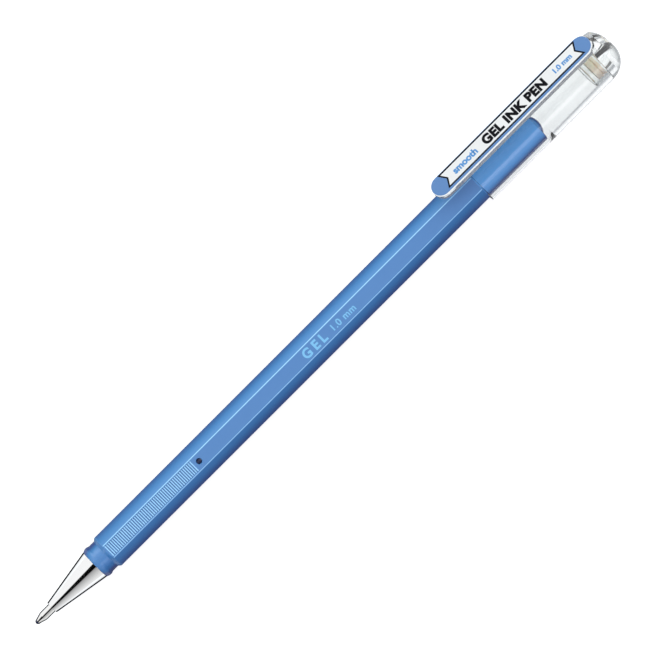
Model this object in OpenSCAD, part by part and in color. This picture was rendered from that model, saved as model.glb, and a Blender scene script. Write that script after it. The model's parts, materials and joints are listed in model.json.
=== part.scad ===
// Capped gel ink pen with its cap posted on the tail.
// The origin is the writing point, on the pen's axis. +X runs to the tail and +Z points up,
// out of the top flat of the eight-sided barrel. Lengths are in millimetres.

/* [Nib and nose cone] */
// Diameter of the writing ball
ball_d = 1.0; // [0.9:0.05:1.1]
// Diameter of the nib's parallel part
nib_d = 2.0; // [1.9:0.05:2.0]
// Length of nib that stands out of the nose cone
nib_len = 4.5; // [4.2:0.1:4.8]
// Length of the nose cone's taper
cone_len = 12.1; // [12:0.1:14]
// Diameter of the nose cone's front face
cone_front_d = 2.68; // [2.6:0.02:2.9]
// Diameter of the nose cone where it meets the barrel
cone_back_d = 6.76; // [6.6:0.02:6.8]

/* [Barrel] */
// Distance across the flats of the barrel
across_flats = 7.7; // [7.7:0.1:8.1]
// Diameter over the softened edges of the flats
edge_d = 8.24; // [8.1:0.02:8.3]
// Length of the eight-sided part
facet_len = 104.1; // [100:1:110]
// Length of the bead and neck in front of the flats
neck_len = 3.7; // [3.6:0.1:4]
// Diameter of the bead that the cap snaps over
bead_d = 7.3; // [7.2:0.02:7.4]
// Diameter of the neck behind the bead
neck_d = 6.9; // [6.8:0.02:7]
// Length of the round tail that takes the cap
tail_len = 16.6; // [16:0.1:17]
// Diameter of the round tail
tail_d = 7.64; // [7.6:0.01:7.66]
// Diameter of the barrel's bore
bore_d = 5.6; // [5.5:0.05:5.6]
// Diameter of the air hole
vent_d = 1.2; // [0.8:0.1:1.4]

/* [Grip] */
// Number of grooves across each grip flat
groove_count = 49; // [20:1:49]
// Distance from one groove to the next
groove_pitch = 0.487; // [0.45:0.01:0.5]
// Width of one groove
groove_w = 0.24; // [0.15:0.01:0.3]
// Depth of one groove
groove_depth = 0.15; // [0.08:0.01:0.2]
// Length of one groove, across the flat
groove_len = 2.68; // [2:0.02:2.8]

/* [Cap] */
// Outer diameter of the cap tube
cap_d = 9.5; // [9.4:0.1:9.8]
// Length of the cap tube, from its lip to the crown
cap_tube_len = 34.3; // [34:0.1:36]
// Radius of the domed crown
crown_r = 4.65; // [4.5:0.05:4.7]
// Angle of the clip round the axis, from straight up towards +Y
clip_angle = 30; // [0:5:90]
// Overall length of the clip plate
clip_len = 43.8; // [38:0.1:44]
// Width of the clip plate
clip_w = 4.74; // [4:0.02:5]
// Thickness of the clip plate
clip_t = 1.4; // [1.2:0.1:1.6]
// Distance from the axis to the clip's outer face
clip_reach = 9.3; // [8.8:0.1:9.8]

/* [Refill] */
// Outer diameter of the ink tube
tube_d = 5.3; // [5.2:0.05:5.3]
// Wall thickness of the ink tube
tube_wall = 0.5; // [0.4:0.05:0.55]
// Length of the ink tube
tube_len = 104; // [80:1:104]
// Share of the tube's room that ink fills
ink_share = 0.8; // [0.1:0.05:0.9]
// Diameter of the check ball
check_ball_d = 1.5; // [1.5:0.01:1.52]

/* [Hidden] */

// Clearance of a piece that is pressed or glued in place
snug = 0.02;
// Clearance of a piece that slides or turns
running = 0.04;
// Overshoot of a cutting solid past the face it cuts
over = 1;

// Stations along the pen
x_cone = nib_len;
x_barrel = x_cone + cone_len;
x_facets = x_barrel + neck_len;
x_tail = x_facets + facet_len;
x_tail_end = x_tail + tail_len;
x_lip = x_tail + 0.1;
x_crown = x_lip + cap_tube_len;
x_end = x_crown + crown_r;
flat_r = across_flats / 2;

// Thread spigot of the nose cone, drawn at its outer diameter
spigot_len = 6;
spigot_r = bore_d / 2 - running;
x_spigot_end = x_barrel + spigot_len;
cavity_r = 2.25;

// Nib
nib_r = nib_d / 2;
ball_r = ball_d / 2;
nib_lip_x = 0.32;
nib_shoulder_x = x_cone + 2.15;
nib_shank_r = 1.18;
nib_shank_end = nib_shoulder_x + 3;
nib_tail_r = 0.9;
nib_tail_end = nib_shank_end + 2.9;
spring_bore_r = 0.62;
spring_bore_x = 2.4;

// Ball spring
wire_r = 0.06;
coil_r = 0.42;
coil_turns = 12;
coil_x = spring_bore_x + 0.2;
coil_end = nib_tail_end - 0.2;

// Tip holder and its check valve
holder_x = nib_shank_end + 0.05;
holder_r = 2.12;
valve_x = holder_x + 3.95;
valve_neck_r = 0.4;
valve_r = 0.95;
valve_front = valve_x + 0.6;
valve_back = valve_front + 1.3;
valve_seat_end = valve_back + 0.6;
valve_seat_r = 0.45;
check_x = valve_x + 0.7;
collar_x = x_spigot_end + 0.15;
collar_end = collar_x + 2.25;
plug_end = collar_end + 6.2;

// Ink tube
tube_x = collar_end + 0.05;
tube_r = tube_d / 2;
tube_bore_r = tube_r - tube_wall;
tube_end = tube_x + tube_len;
ink_x = plug_end + 0.05;
ink_end = ink_x + (tube_end - ink_x) * ink_share;
follower_len = 6;

// Tail plug
plug_r = 2.5;
plug_x = x_tail_end - 7;
plug_dome = 1.5;
plug_bore_r = plug_r + snug;
plug_sphere_r = (plug_r ^ 2 + plug_dome ^ 2) / (2 * plug_dome);

// Cap bore: a wide mouth, a seat for the tail, a step, then a slow taper to the crown
mouth_r = edge_d / 2 + 0.1;
seat_r = tail_d / 2 + 0.05;
mouth_end = x_tail_end - 1.7;
seat_x = x_tail_end - 1.1;
step_x = x_tail_end + 0.2;
step_end = x_tail_end + 1.3;
step_r = 3.66;
top_bore_r = 3.46;

// Crown: spigot, seal cup and root of the clip
cup_len = 3.6;
cup_x = x_crown - cup_len;
cup_r = 2.9;
cup_wall_r = top_bore_r - snug;
cup_floor_x = x_crown - 0.3;
hollow_r = 2.65;
hollow_end = x_crown + 1.5;

// Seal disc with two lips
seal_len = 2;
seal_r = cup_r - snug;
seal_groove_r = 2.55;
seal_groove = [1.12, 1.38];

// Clip
clip_x = x_end - 2.95 - clip_len;
clip_end = clip_x + clip_len;
clip_inner = clip_reach - clip_t;
bump_x = clip_x + 2.8;
bump_len = 3;
bump_w = 2;
bump_h = 1.6;
label_t = 0.08;
label_margin = 0.1;

// A turned solid on the pen's axis, from points given as [radius, x]
module turned(points) {
    rotate([0, 90, 0])
        rotate_extrude($fn = 96)
            polygon(points);
}

// A rod on the pen's axis between two stations
module rod(r, x0, x1) {
    translate([x0, 0, 0])
        rotate([0, 90, 0])
            cylinder(r = r, h = x1 - x0, $fn = 64);
}

// A ball centred on the pen's axis
module ball(r, x) {
    translate([x, 0, 0])
        sphere(r = r, $fn = 48);
}

// Turns what is drawn with its outward direction up to the clip's own angle
module at_clip() {
    rotate([-clip_angle, 0, 0])
        children();
}

// Points of a plate with round ends, from x0 to x1 and w wide
function plate_outline(x0, x1, w, steps = 16) = concat(
    [for (i = [0:steps]) [x1 - w / 2 + w / 2 * sin(i * 180 / steps), w / 2 * cos(i * 180 / steps)]],
    [for (i = [0:steps]) [x0 + w / 2 - w / 2 * sin(i * 180 / steps), -w / 2 * cos(i * 180 / steps)]]);

// Points [radius, x] of the bead's swelling, from the barrel's front face to the neck
bead_span = 1.8;
bead_swell = bead_d / 2 - (cone_back_d + neck_d) / 4;
function bead_profile(steps = 10) = [
    for (i = [0:steps])
        let (t = i / steps)
            [cone_back_d / 2 + (neck_d - cone_back_d) / 2 * t + bead_swell * sin(180 * t),
             x_barrel + bead_span * t]];

// Eight-sided moulded barrel: bead and neck in front, grip grooves, air hole and round tail
module barrel() {
    tail_chamfer = 0.3;
    color("cornflowerblue")
        difference() {
            intersection() {
                turned(concat([[0, x_barrel]], bead_profile(), [
                    [neck_d / 2, x_facets - 0.8],
                    [edge_d / 2, x_facets + 0.1],
                    [edge_d / 2, x_tail],
                    [tail_d / 2, x_tail],
                    [tail_d / 2, x_tail_end - tail_chamfer],
                    [tail_d / 2 - tail_chamfer, x_tail_end],
                    [0, x_tail_end]]));
                translate([x_barrel - over, 0, 0])
                    rotate([0, 90, 0])
                        rotate([0, 0, 22.5])
                            cylinder(r = flat_r / cos(22.5), h = x_tail_end - x_barrel + 2 * over, $fn = 8);
            }
            rod(bore_d / 2, x_barrel - over, plug_x);
            rod(plug_bore_r, plug_x - over, x_tail_end + over);
            vent();
            grip_grooves();
        }
}

// Air hole through the top flat, behind the grip
module vent() {
    vent_gap = 1.7;
    translate([x_facets + groove_count * groove_pitch + vent_gap, 0, 0])
        cylinder(d = vent_d, h = flat_r + over, $fn = 32);
}

// Grooves across the top and bottom flats
module grip_grooves() {
    first = x_facets + 0.54;
    for (side = [-1, 1])
        for (i = [0:groove_count - 1])
            translate([first + i * groove_pitch, 0, side * flat_r])
                cube([groove_w, groove_len, 2 * groove_depth], center = true);
}

// Domed plug pressed into the tail
module tail_plug(steps = 12) {
    core_r = 1.7;
    core_end = x_tail_end - 2;
    centre_x = x_tail_end + plug_dome - plug_sphere_r;
    dome_angle = asin(plug_r / plug_sphere_r);
    color("cornflowerblue")
        turned(concat(
            [[core_r, plug_x + snug], [plug_r, plug_x + snug]],
            [for (i = [0:steps - 1])
                let (a = dome_angle * (1 - i / steps))
                    [plug_sphere_r * sin(a), centre_x + plug_sphere_r * cos(a)]],
            [[0, x_tail_end + plug_dome], [0, core_end], [core_r, core_end]]));
}

// Turned metal cone with a threaded spigot, drawn plain at the thread's outer diameter
module nose_cone() {
    front_chamfer = 0.1;
    relief_r = 2.5;
    relief_len = 0.8;
    color("silver")
        turned([
            [nib_r + running, x_cone],
            [cone_front_d / 2 - front_chamfer, x_cone],
            [cone_front_d / 2, x_cone + front_chamfer],
            [cone_back_d / 2, x_barrel - snug],
            [relief_r, x_barrel - snug],
            [relief_r, x_barrel + relief_len],
            [spigot_r, x_barrel + relief_len + 0.2],
            [spigot_r, x_spigot_end - 0.2],
            [spigot_r - 0.2, x_spigot_end],
            [cavity_r, x_spigot_end],
            [cavity_r, x_barrel - 2.1],
            [nib_shank_r + running, x_cone + 2.1],
            [nib_r + running, x_cone + 2]]);
}

// Drawn metal tip: ball socket, capillary, spring bore and shank
module tip_body() {
    socket_r = ball_r + 0.01;
    capillary_r = 0.3;
    lip_r = 0.55;
    taper_end = 2.1;
    color("lightgray")
        difference() {
            turned([
                [0, nib_lip_x],
                [lip_r, nib_lip_x],
                [nib_r, taper_end],
                [nib_r, nib_shoulder_x],
                [nib_shank_r, nib_shoulder_x + 0.05],
                [nib_shank_r, nib_shank_end],
                [nib_tail_r, nib_shank_end],
                [nib_tail_r, nib_tail_end],
                [0, nib_tail_end]]);
            ball(socket_r, ball_r);
            rod(capillary_r, ball_r, spring_bore_x + over);
            rod(spring_bore_r, spring_bore_x, nib_tail_end + over);
        }
}

// Hard ball that rolls on the paper
module writing_ball() {
    color("gray")
        ball(ball_r, ball_r);
}

// Fine spring whose straight front end presses the ball against its seat
module ball_spring() {
    color("silver") {
        rod(wire_r, ball_d + 0.03, coil_x);
        translate([coil_x, 0, 0])
            cylinder(r = wire_r, h = coil_r, $fn = 16);
        coil();
    }
}

// The spring's coil, swept along a helix
module coil(sides = 6, steps = 16) {
    rings = coil_turns * steps;
    length = coil_end - coil_x;
    points = [
        for (i = [0:rings])
            for (j = [0:sides - 1])
                let (a = i * 360 / steps, b = j * 360 / sides, r = coil_r + wire_r * cos(b))
                    [coil_x + length * i / rings + wire_r * sin(b), r * sin(a), r * cos(a)]];
    walls = [
        for (i = [0:rings - 1])
            for (j = [0:sides - 1])
                let (k = (j + 1) % sides)
                    [i * sides + j, (i + 1) * sides + j, (i + 1) * sides + k, i * sides + k]];
    caps = [
        [for (j = [0:sides - 1]) j],
        [for (j = [sides - 1:-1:0]) rings * sides + j]];
    polyhedron(points = points, faces = concat(walls, caps));
}

// Moulded joint between the metal tip and the ink tube, with the check valve's chamber
module tip_holder() {
    front_r = 1.42;
    collar_r = 2.62;
    plug_fit_r = tube_bore_r - snug;
    passage_r = 1.2;
    slot_w = 0.3;
    color("white")
        difference() {
            turned([
                [nib_tail_r + snug, holder_x],
                [front_r, holder_x],
                [holder_r, holder_x + 4.95],
                [holder_r, collar_x],
                [collar_r, collar_x],
                [collar_r, collar_end],
                [plug_fit_r, collar_end],
                [plug_fit_r, plug_end - 0.2],
                [plug_fit_r - 0.2, plug_end],
                [passage_r, plug_end],
                [passage_r, valve_seat_end + 1.4],
                [valve_seat_r, valve_seat_end + 0.6],
                [valve_seat_r, valve_seat_end],
                [valve_r, valve_back],
                [valve_r, valve_front],
                [valve_neck_r, valve_x],
                [valve_neck_r, nib_tail_end + snug],
                [nib_tail_r + snug, nib_tail_end + snug]]);
            translate([valve_x - 0.1, -valve_r, -slot_w / 2])
                cube([1, 2 * valve_r, slot_w]);
        }
}

// Ball that closes the passage when the pen points upwards
module check_ball() {
    color("gray")
        ball(check_ball_d / 2, check_x);
}

// Clear tube that holds the ink
module ink_tube() {
    color("white", 0.5)
        difference() {
            rod(tube_r, tube_x, tube_end);
            rod(tube_bore_r, tube_x - over, tube_end + over);
        }
}

// Column of gel ink
module ink() {
    color("steelblue")
        rod(tube_bore_r - snug, ink_x, ink_end);
}

// Plug of grease that follows the ink, with a hollow back
module ink_follower() {
    dish = 0.8;
    color("khaki")
        turned([
            [0, ink_end + snug],
            [tube_bore_r - snug, ink_end + snug],
            [tube_bore_r - snug, ink_end + follower_len],
            [0.6 * tube_bore_r, ink_end + follower_len - dish],
            [0, ink_end + follower_len - 1.3 * dish]]);
}

// Clear tube of the cap
module cap_tube() {
    lip_chamfer = 0.15;
    color("white", 0.4)
        turned([
            [mouth_r + lip_chamfer, x_lip],
            [cap_d / 2 - lip_chamfer, x_lip],
            [cap_d / 2, x_lip + lip_chamfer],
            [cap_d / 2, x_crown],
            [top_bore_r, x_crown],
            [top_bore_r, cup_x],
            [step_r, step_end],
            [seat_r, step_x],
            [seat_r, seat_x],
            [mouth_r, mouth_end],
            [mouth_r, x_lip + lip_chamfer]]);
}

// Clear crown: dome, spigot with the seal's cup, and the root that carries the clip
module cap_crown() {
    color("white", 0.4)
        difference() {
            union() {
                rod(cup_wall_r, cup_x, x_crown + 0.5);
                intersection() {
                    ball(crown_r, x_crown + snug);
                    rod(crown_r + over, x_crown + snug, x_end + over);
                }
                at_clip()
                    clip_root();
            }
            rod(cup_r, cup_x - over, cup_floor_x);
            rod(hollow_r, cup_floor_x - over, hollow_end);
        }
}

// Fin from the dome up to the clip, rounded off towards the tail both from the side and from above
module clip_root(steps = 12) {
    reach = x_end - x_crown;
    intersection() {
        rotate([90, 0, 0])
            linear_extrude(height = clip_w, center = true)
                polygon(concat(
                    [[x_crown + snug, 0], [x_crown + snug, clip_inner - snug]],
                    [for (i = [0:steps])
                        let (a = 32 + (90 - 32) * i / steps)
                            [x_crown + reach * sin(a), clip_reach * cos(a)]]));
        linear_extrude(height = clip_reach)
            polygon(concat(
                [[x_crown, clip_w / 2]],
                [for (i = [0:2 * steps])
                    let (a = 90 - 90 * i / steps)
                        [x_crown + reach * cos(a), clip_w / 2 * sin(a)]],
                [[x_crown, -clip_w / 2]]));
    }
}

// Soft disc that the writing ball presses into when the cap is on the nose
module tip_seal() {
    x0 = cup_floor_x - snug - seal_len;
    color("wheat")
        turned([
            [0, x0],
            [seal_r - 0.15, x0],
            [seal_r, x0 + 0.15],
            [seal_r, x0 + seal_groove[0]],
            [seal_groove_r, x0 + seal_groove[0]],
            [seal_groove_r, x0 + seal_groove[1]],
            [seal_r, x0 + seal_groove[1]],
            [seal_r, x0 + seal_len],
            [0, x0 + seal_len]]);
}

// Clip plate with round ends and a bump under its free end
module clip() {
    color("white", 0.5)
        at_clip() {
            translate([0, 0, clip_inner])
                linear_extrude(height = clip_t)
                    polygon(plate_outline(clip_x, clip_end, clip_w));
            rotate([90, 0, 0])
                linear_extrude(height = bump_w, center = true)
                    polygon([
                        [bump_x - bump_len / 2, clip_inner + 0.2],
                        [bump_x - bump_len / 4, clip_inner - bump_h],
                        [bump_x + bump_len / 4, clip_inner - bump_h],
                        [bump_x + bump_len, clip_inner + 0.2]]);
        }
}

// Printed film on the clip's outer face
module clip_label() {
    color("cornflowerblue")
        at_clip()
            translate([0, 0, clip_reach])
                linear_extrude(height = label_t)
                    polygon(plate_outline(clip_x + label_margin, clip_end - label_margin,
                                          clip_w - 2 * label_margin));
}

barrel();
tail_plug();
nose_cone();
tip_body();
writing_ball();
ball_spring();
tip_holder();
check_ball();
ink_tube();
ink();
ink_follower();
cap_tube();
cap_crown();
tip_seal();
clip();
clip_label();
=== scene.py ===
import json
import math

import bmesh
import bpy
from mathutils import Matrix, Vector


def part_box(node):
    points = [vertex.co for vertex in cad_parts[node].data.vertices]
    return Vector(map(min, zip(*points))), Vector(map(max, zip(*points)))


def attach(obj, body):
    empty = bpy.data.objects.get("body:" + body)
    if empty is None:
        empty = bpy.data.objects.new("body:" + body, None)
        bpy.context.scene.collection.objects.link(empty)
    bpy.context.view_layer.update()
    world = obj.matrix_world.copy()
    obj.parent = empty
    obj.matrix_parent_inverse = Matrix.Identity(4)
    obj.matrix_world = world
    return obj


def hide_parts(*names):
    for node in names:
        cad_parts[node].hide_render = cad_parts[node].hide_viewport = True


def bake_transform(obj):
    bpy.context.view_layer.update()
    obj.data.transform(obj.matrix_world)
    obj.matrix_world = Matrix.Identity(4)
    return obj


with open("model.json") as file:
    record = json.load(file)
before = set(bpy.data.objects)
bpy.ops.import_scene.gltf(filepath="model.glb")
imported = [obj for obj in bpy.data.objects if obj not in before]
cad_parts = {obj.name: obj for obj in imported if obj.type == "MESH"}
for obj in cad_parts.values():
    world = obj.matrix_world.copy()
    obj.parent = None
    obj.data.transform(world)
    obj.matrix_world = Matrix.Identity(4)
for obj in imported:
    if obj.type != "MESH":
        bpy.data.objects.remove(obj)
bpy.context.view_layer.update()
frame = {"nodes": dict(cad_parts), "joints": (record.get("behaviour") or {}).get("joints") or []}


# ---- Barrel ----
# One moulding in satin blue plastic: a bead and a neck in front, eight flats, and a round tail
# that the cap slides over. Grooves for the fingers are moulded into the top and bottom flats,
# and a small air hole goes through the top one.

MM = 0.001
barrel_low, barrel_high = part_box("barrel")
flat_r = barrel_high.z / MM
barrel_front = barrel_low.x / MM + 0.12
barrel_end = barrel_high.x / MM
flats_start = barrel_front + 3.83
flats_end = barrel_end - 16.6
corner_r = 4.12
neck_r = 3.45
bead_r = 3.65
front_r = 3.38
tail_r = 3.82
facet_rise = 0.14
bore_r = 2.8
plug_bore_r = 2.52
plug_seat = barrel_end - 7
groove_count = 49
groove_pitch = 0.487
groove_w = 0.24
groove_len = 2.6
groove_depth = 0.13
first_groove = flats_start + 0.5
air_hole = flats_start + groove_count * groove_pitch + 1.7
air_hole_r = 0.6


def arc(centre_x, centre_r, radius, start, end, steps=12):
    """Points (x, radius) along an arc in a turned outline, with its angles counted from +X."""
    turns = [math.radians(start + (end - start) * i / steps) for i in range(steps + 1)]
    return [(centre_x + radius * math.cos(t), centre_r + radius * math.sin(t)) for t in turns]


def soften(bm, width, sharper_than=30, segments=3):
    """Rounds a solid's edges where they are sharper than an angle in degrees."""
    limit = math.radians(sharper_than)
    edges = [e for e in bm.edges if e.is_manifold and e.calc_face_angle() > limit]
    bmesh.ops.bevel(bm, geom=edges, offset=width * MM, offset_type="OFFSET", affect="EDGES",
                    segments=segments, profile=0.5, material=-1, clamp_overlap=True)


def turned(outline, soft=0.0, steps=128):
    """A solid turned on the pen's axis from an outline of (x, radius) points in millimetres."""
    bm = bmesh.new()
    points = [bm.verts.new((x * MM, 0, r * MM)) for x, r in outline]
    on_axis = outline[0][1] == 0 and outline[-1][1] == 0
    ends = points[1:] if on_axis else points[1:] + points[:1]
    edges = [bm.edges.new(pair) for pair in zip(points, ends)]
    bmesh.ops.spin(bm, geom=points + edges, cent=(0, 0, 0), axis=(1, 0, 0), angle=math.tau,
                   steps=steps, use_merge=True)
    bmesh.ops.remove_doubles(bm, verts=bm.verts, dist=1e-7)
    bmesh.ops.recalc_face_normals(bm, faces=bm.faces)
    if soft:
        soften(bm, soft)
    return bm


def carved(solid, operation, tool):
    """A solid after a boolean operation with another one."""
    shapes = []
    for bm in (solid, tool):
        mesh = bpy.data.meshes.new("shape")
        bm.to_mesh(mesh)
        bm.free()
        shape = bpy.data.objects.new("shape", mesh)
        bpy.context.scene.collection.objects.link(shape)
        shapes.append(shape)
    cut = shapes[0].modifiers.new("cut", "BOOLEAN")
    cut.operation = operation
    cut.solver = "EXACT"
    cut.object = shapes[1]
    result = bmesh.new()
    result.from_object(shapes[0], bpy.context.evaluated_depsgraph_get())
    for shape in shapes:
        mesh = shape.data
        bpy.data.objects.remove(shape)
        bpy.data.meshes.remove(mesh)
    return result


def finished(name, bm, body, materials, replaced=(), smooth=32):
    """A piece made from a solid: its materials, its smooth shading, and the body it rides on."""
    mesh = bpy.data.meshes.new(name)
    bm.to_mesh(mesh)
    bm.free()
    mesh.shade_smooth()
    mesh.set_sharp_from_angle(angle=math.radians(smooth))
    for material in materials:
        mesh.materials.append(material)
    piece = bpy.data.objects.new(name, mesh)
    bpy.context.scene.collection.objects.link(piece)
    flatter = piece.modifiers.new("even_shading", "WEIGHTED_NORMAL")
    flatter.keep_sharp = True
    shaded = piece.evaluated_get(bpy.context.evaluated_depsgraph_get())
    piece.data = bpy.data.meshes.new_from_object(shaded)
    piece.data.name = name
    piece.modifiers.clear()
    bpy.data.meshes.remove(mesh)
    if body:
        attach(piece, body)
    if replaced:
        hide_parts(*replaced)
    return piece


def crown_facets(bm, rise, cuts=7):
    """Swells the slanted facets of an eight-sided outline a little, as moulded ones are."""
    slanted = [e for e in bm.edges if e.calc_length() > 1.5 * MM
               and min(abs(e.verts[0].co.y - e.verts[1].co.y),
                       abs(e.verts[0].co.z - e.verts[1].co.z)) > 1 * MM]
    for edge in slanted:
        middle = (edge.verts[0].co + edge.verts[1].co) / 2
        half = edge.calc_length() / 2
        made = bmesh.ops.subdivide_edges(bm, edges=[edge], cuts=cuts)
        for vert in [g for g in made["geom_inner"] if isinstance(g, bmesh.types.BMVert)]:
            off_middle = (vert.co - middle).length / half
            vert.co += middle.normalized() * rise * MM * (1 - off_middle ** 2)


def octagon_bar(x0, x1):
    """The eight-sided bar that the barrel is cut from, with rounded corners."""
    corner_set_back = (flat_r / math.cos(math.pi / 8) - corner_r) * 5
    bm = bmesh.new()
    bmesh.ops.create_circle(bm, segments=8, radius=flat_r / math.cos(math.pi / 8) * MM)
    upright = Matrix.Rotation(math.pi / 2, 3, "Y") @ Matrix.Rotation(math.pi / 8, 3, "Z")
    bmesh.ops.transform(bm, matrix=upright.to_4x4(), verts=bm.verts)
    bmesh.ops.bevel(bm, geom=bm.verts[:], offset=corner_set_back * MM, offset_type="OFFSET",
                    affect="VERTICES", segments=6, profile=0.5, material=-1)
    crown_facets(bm, facet_rise)
    bmesh.ops.translate(bm, vec=(x0 * MM, 0, 0), verts=bm.verts)
    wall = bmesh.ops.extrude_edge_only(bm, edges=bm.edges[:])
    far = [g for g in wall["geom"] if isinstance(g, bmesh.types.BMVert)]
    bmesh.ops.translate(bm, vec=((x1 - x0) * MM, 0, 0), verts=far)
    bmesh.ops.holes_fill(bm, edges=bm.edges)
    bmesh.ops.recalc_face_normals(bm, faces=bm.faces)
    return bm


def scored(bm, faces, point, normal):
    """The faces that a straight cut through some faces leaves."""
    parts = set(faces)
    for face in faces:
        parts.update(face.edges, face.verts)
    cut = bmesh.ops.bisect_plane(bm, geom=list(parts), dist=1e-8, plane_co=point, plane_no=normal)
    return [g for g in cut["geom"] if isinstance(g, bmesh.types.BMFace)]


def cut_grooves(bm):
    """Sinks the grip grooves into the top and bottom flats."""
    half = groove_len / 2 * MM
    for side in (-1, 1):
        faces = [f for f in bm.faces if f.normal.z * side > 0.999]
        for edge_y in (-half, half):
            faces = scored(bm, faces, (0, edge_y, 0), (0, 1, 0))
        faces = [f for f in faces if abs(f.calc_center_median().y) < half]
        for i in range(groove_count):
            for edge_x in (-groove_w / 2, groove_w / 2):
                station = (first_groove + i * groove_pitch + edge_x) * MM
                faces = scored(bm, faces, (station, 0, 0), (1, 0, 0))
        sunk = []
        for face in faces:
            along = (face.calc_center_median().x / MM - first_groove) / groove_pitch
            if -0.25 < along < groove_count - 0.75 and abs(along - round(along)) < 0.1:
                sunk.append(face)
        rims = {e for f in sunk for e in f.edges}
        bmesh.ops.inset_individual(bm, faces=sunk, thickness=0.055 * MM,
                                   depth=-groove_depth * MM)
        bmesh.ops.bevel(bm, geom=list(rims), offset=0.045 * MM, offset_type="OFFSET",
                        affect="EDGES", segments=3, profile=0.5, material=-1)


def bead_outline(steps=14):
    """The swelling in front of the neck that the cap's rim snaps over."""
    length = 1.62
    swell = bead_r - (front_r + neck_r) / 2
    stations = [i / steps for i in range(steps + 1)]
    return [(barrel_front + length * t,
             front_r + (neck_r - front_r) * t + swell * math.sin(math.pi * t)) for t in stations]


blank = turned([(barrel_front, 0), *bead_outline(), (flats_start - 0.8, neck_r),
                (flats_start + 0.02, corner_r + 0.02), (flats_end - 0.1, corner_r + 0.02),
                (flats_end, corner_r - 0.08), (flats_end, tail_r), (barrel_end - 0.25, tail_r),
                *arc(barrel_end - 0.25, tail_r - 0.25, 0.25, 90, 0, 5), (barrel_end, 0)])
bar = octagon_bar(barrel_front - 1, barrel_end + 1)
cut_grooves(bar)
barrel = carved(bar, "INTERSECT", blank)
bore = turned([(barrel_front - 1, 0), (barrel_front - 1, bore_r + 1.12),
               (barrel_front + 0.12, bore_r), (plug_seat, bore_r), (plug_seat, plug_bore_r),
               (barrel_end + 1, plug_bore_r), (barrel_end + 1, 0)], steps=96)
barrel = carved(barrel, "DIFFERENCE", bore)
drill = turned([(2, 0), (2, air_hole_r), (flat_r - 0.08, air_hole_r),
                (flat_r + 0.5, air_hole_r + 0.58), (flat_r + 0.5, 0)], steps=48)
bmesh.ops.rotate(drill, cent=(0, 0, 0), matrix=Matrix.Rotation(-math.pi / 2, 3, "Y"),
                 verts=drill.verts)
bmesh.ops.translate(drill, vec=(air_hole * MM, 0, 0), verts=drill.verts)
barrel = carved(barrel, "DIFFERENCE", drill)
bmesh.ops.remove_doubles(barrel, verts=barrel.verts, dist=1e-7)


def add_node(tree, kind, sockets=None, **settings):
    """A shader node with its settings, and its sockets linked or set."""
    node = tree.nodes.new("ShaderNode" + kind)
    for key, value in settings.items():
        setattr(node, key, value)
    for socket, value in (sockets or {}).items():
        if isinstance(value, bpy.types.NodeSocket):
            tree.links.new(value, node.inputs[socket])
        else:
            node.inputs[socket].default_value = value
    return node


def new_group(name, inputs, outputs):
    """An empty shader node group with its named sockets, and its input and output nodes."""
    group = bpy.data.node_groups.new(name, "ShaderNodeTree")
    for socket, value in inputs.items():
        made = group.interface.new_socket(socket, in_out="INPUT", socket_type="NodeSocketFloat")
        made.default_value = value
    for socket, kind in outputs.items():
        group.interface.new_socket(socket, in_out="OUTPUT", socket_type="NodeSocket" + kind)
    return group, group.nodes.new("NodeGroupInput"), group.nodes.new("NodeGroupOutput")


def make_moulded_skin():
    """Fine moulding grain, handling marks in the gloss, and slow drift in the tone."""
    group, given, out = new_group(
        "moulded_skin",
        {"Grain Scale": 9000, "Grain Depth": 2e-6, "Roughness": 0.4, "Spread": 0.08},
        {"Tone": "Float", "Roughness": "Float", "Normal": "Vector"})
    place = add_node(group, "TexCoord").outputs["Object"]
    grain = add_node(group, "TexNoise", {"Vector": place, "Scale": given.outputs["Grain Scale"],
                                         "Detail": 2.0, "Roughness": 0.6})
    bump = add_node(group, "Bump", {"Height": grain.outputs["Fac"],
                                    "Distance": given.outputs["Grain Depth"]})
    smears = add_node(group, "TexNoise", {"Vector": place, "Scale": 420.0, "Detail": 4.0,
                                          "Roughness": 0.65, "Distortion": 0.8})
    spread = add_node(group, "Math", {0: smears.outputs["Fac"], 1: -0.5}, operation="ADD")
    gloss = add_node(group, "Math", {0: spread.outputs[0], 1: given.outputs["Spread"],
                                     2: given.outputs["Roughness"]}, operation="MULTIPLY_ADD")
    drift = add_node(group, "TexNoise", {"Vector": place, "Scale": 90.0, "Detail": 2.0})
    group.links.new(drift.outputs["Fac"], out.inputs["Tone"])
    group.links.new(gloss.outputs[0], out.inputs["Roughness"])
    group.links.new(bump.outputs["Normal"], out.inputs["Normal"])
    return group


moulded_skin = make_moulded_skin()


def new_material(name, **constants):
    """A material with one Principled shader, and constants set on that shader's own sockets."""
    material = bpy.data.materials.new(name)
    material.use_nodes = True
    shader = material.node_tree.nodes["Principled BSDF"]
    for socket, value in constants.items():
        shader.inputs[socket.replace("_", " ")].default_value = value
    return material, material.node_tree, shader


def moulded_plastic(name, colour, second, skin, **constants):
    """Opaque plastic as moulded, its tone drifting between two colours."""
    material, tree, shader = new_material(name, **constants)
    detail = add_node(tree, "Group", skin, node_tree=moulded_skin)
    tone = add_node(tree, "Mix", {"Factor": detail.outputs["Tone"], "A": (*colour, 1),
                                  "B": (*second, 1)}, data_type="RGBA")
    tree.links.new(tone.outputs["Result"], shader.inputs["Base Color"])
    tree.links.new(detail.outputs["Roughness"], shader.inputs["Roughness"])
    tree.links.new(detail.outputs["Normal"], shader.inputs["Normal"])
    return material, tree, shader, tone


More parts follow.
